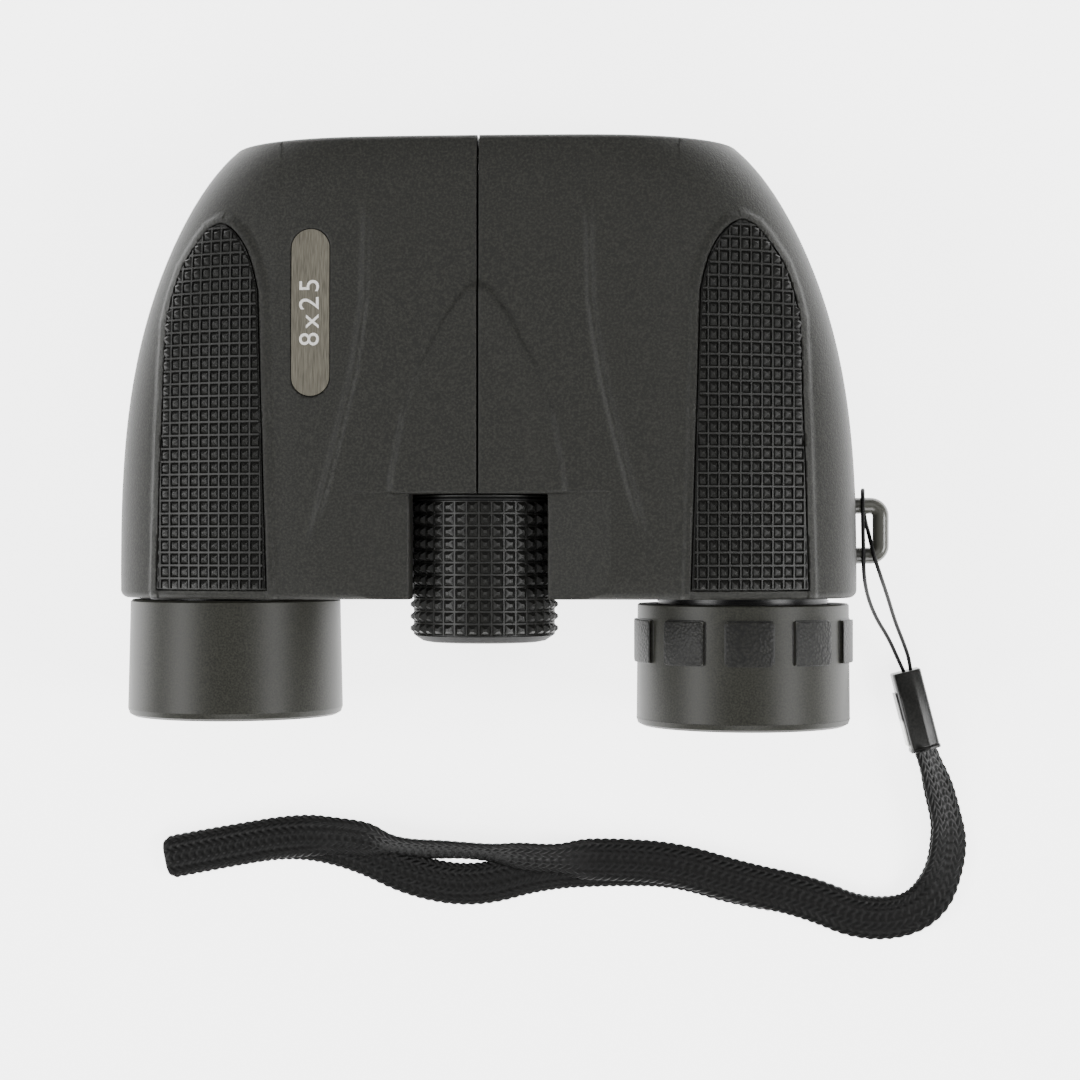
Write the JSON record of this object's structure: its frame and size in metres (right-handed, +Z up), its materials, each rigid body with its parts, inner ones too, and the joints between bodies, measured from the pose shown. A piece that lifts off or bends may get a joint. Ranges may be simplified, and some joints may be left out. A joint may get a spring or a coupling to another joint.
{
  "type": "binoculars",
  "caption": "Compact folding binoculars with ribbed side grips, central focus wheel, right dioptre ring and a braided wrist strap on a lug.",
  "frame": {"origin": "bottom centre of the binoculars, lying flat and fully spread, without the strap", "axes": "+X to the user's right, +Y toward the objectives, +Z up"},
  "size_m": [0.1272, 0.1184, 0.0407],
  "materials": {
    "body_paint": "textured soft-touch dark grey",
    "grip_rubber": "black moulded rubber",
    "satin_ring": "satin dark grey",
    "wheel_plastic": "satin black",
    "wheel_rubber": "black rubber",
    "frame_plastic": "glass-filled black plastic",
    "glass": "coated optical glass",
    "spring_steel": "bright steel",
    "screw_steel": "blackened steel",
    "ring_aluminium": "black anodised",
    "plate_metal": "dark bronze satin",
    "lug_metal": "dark grey enamel",
    "cord_fabric": "black braided cord",
    "strap_fabric": "black tubular braid",
    "clip_plastic": "glossy black",
    "label_film": "printed silver film"
  },
  "bodies": {
    "right_half": {"right_top_cover": "body_paint", "right_bottom_cover": "body_paint", "right_grip_top": "grip_rubber", "right_grip_bottom": "grip_rubber", "right_cover_screws": "screw_steel", "right_chassis": "frame_plastic", "right_front_prism": "glass", "right_rear_prism": "glass", "right_prism_clips": "spring_steel", "right_eyepiece_barrel": "ring_aluminium", "right_strap_lug": "lug_metal", "strap_string": "cord_fabric", "strap_clip": "clip_plastic", "clip_label": "label_film", "wrist_strap_lower": "strap_fabric", "wrist_strap_upper": "strap_fabric", "hinge_bush": "spring_steel", "hinge_pin": "spring_steel", "hinge_washers": "frame_plastic"},
    "left_half": {"left_top_cover": "body_paint", "left_bottom_cover": "body_paint", "left_grip_top": "grip_rubber", "left_grip_bottom": "grip_rubber", "left_cover_screws": "screw_steel", "left_chassis": "frame_plastic", "left_front_prism": "glass", "left_rear_prism": "glass", "left_prism_clips": "spring_steel", "left_eyepiece_barrel": "ring_aluminium", "left_name_plate": "plate_metal", "left_field_lens": "glass", "left_eye_lens": "glass", "left_eyepiece_ring": "ring_aluminium", "left_eyecup": "satin_ring"},
    "focus_wheel": {"focus_wheel": "wheel_plastic", "focus_wheel_sleeve": "wheel_rubber", "focus_spindle": "spring_steel", "spindle_clip": "spring_steel"},
    "focus_carriage": {"focus_carriage": "frame_plastic"},
    "right_objective": {"right_objective_cell": "frame_plastic", "right_crown_lens": "glass", "right_flint_lens": "glass", "right_objective_ring": "ring_aluminium"},
    "left_objective": {"left_objective_cell": "frame_plastic", "left_crown_lens": "glass", "left_flint_lens": "glass", "left_objective_ring": "ring_aluminium"},
    "dioptre_ring": {"dioptre_ring": "satin_ring", "right_eyecup": "satin_ring"},
    "right_ocular": {"right_ocular_tube": "ring_aluminium", "right_field_lens": "glass", "right_eye_lens": "glass", "right_eyepiece_ring": "ring_aluminium"}
  },
  "joints": [
    {"name": "halves_fold", "type": "hinge", "parent": "right_half", "child": "left_half", "pos_m": [0, 0.01, 0.0275], "axis": [0, -1, 0], "range_deg": [0, 49]},
    {"name": "focus_turn", "type": "hinge", "parent": "right_half", "child": "focus_wheel", "pos_m": [0, -0.019, 0.0275], "axis": [0, 1, 0], "range_deg": [-139, 139]},
    {"name": "carriage_slide", "type": "slide", "parent": "right_half", "child": "focus_carriage", "axis": [0, 1, 0], "range_m": [-0.0015, 0.0015]},
    {"name": "right_objective_slide", "type": "slide", "parent": "right_half", "child": "right_objective", "axis": [0, 1, 0], "range_m": [-0.0015, 0.0015]},
    {"name": "left_objective_slide", "type": "slide", "parent": "left_half", "child": "left_objective", "axis": [0, 1, 0], "range_m": [-0.0015, 0.0015]},
    {"name": "dioptre_turn", "type": "hinge", "parent": "right_half", "child": "dioptre_ring", "pos_m": [0.03755, -0.033, 0.0205], "axis": [0, 1, 0], "range_deg": [-60, 60]},
    {"name": "right_ocular_slide", "type": "slide", "parent": "right_half", "child": "right_ocular", "axis": [0, 1, 0], "range_m": [-0.0008, 0.0008]}
  ],
  "couplings": [
    {"joint": "carriage_slide", "follows": "focus_turn", "m_per_rad": 0.00061434},
    {"joint": "right_objective_slide", "follows": "focus_turn", "m_per_rad": 0.00061434},
    {"joint": "left_objective_slide", "follows": "focus_turn", "m_per_rad": 0.00061434},
    {"joint": "right_ocular_slide", "follows": "dioptre_turn", "m_per_rad": 0.00076393}
  ]
}
